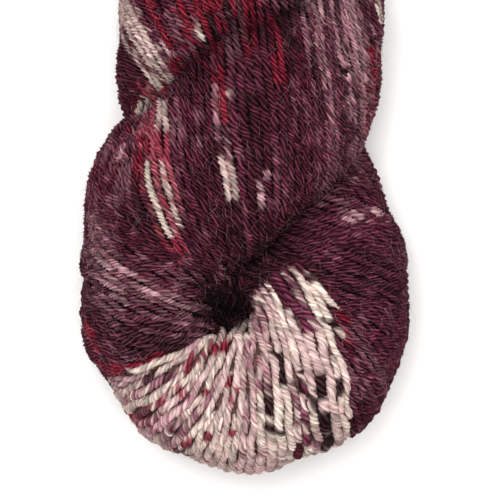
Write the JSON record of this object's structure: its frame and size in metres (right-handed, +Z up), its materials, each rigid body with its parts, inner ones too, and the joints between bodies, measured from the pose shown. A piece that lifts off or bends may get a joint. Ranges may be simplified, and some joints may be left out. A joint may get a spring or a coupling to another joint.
{
  "type": "skein of yarn",
  "caption": "Twisted skein of hand-dyed four-ply wool yarn, two plied ropes of turns with a rounded bun at each end, lying on its side.",
  "frame": {"origin": "centre of the skein on the surface that it rests on", "axes": "+Y along the skein, from the end with the shown bun at -Y; +X across it; +Z up, away from the surface"},
  "size_m": [0.0898, 0.2814, 0.0595],
  "materials": {
    "wool": "matt four-ply wool with a soft halo, hand-dyed in aubergine, wine, crimson, mauve and cream with dark speckles"
  },
  "bodies": {
    "root": {"skein": "wool"}
  },
  "joints": []
}
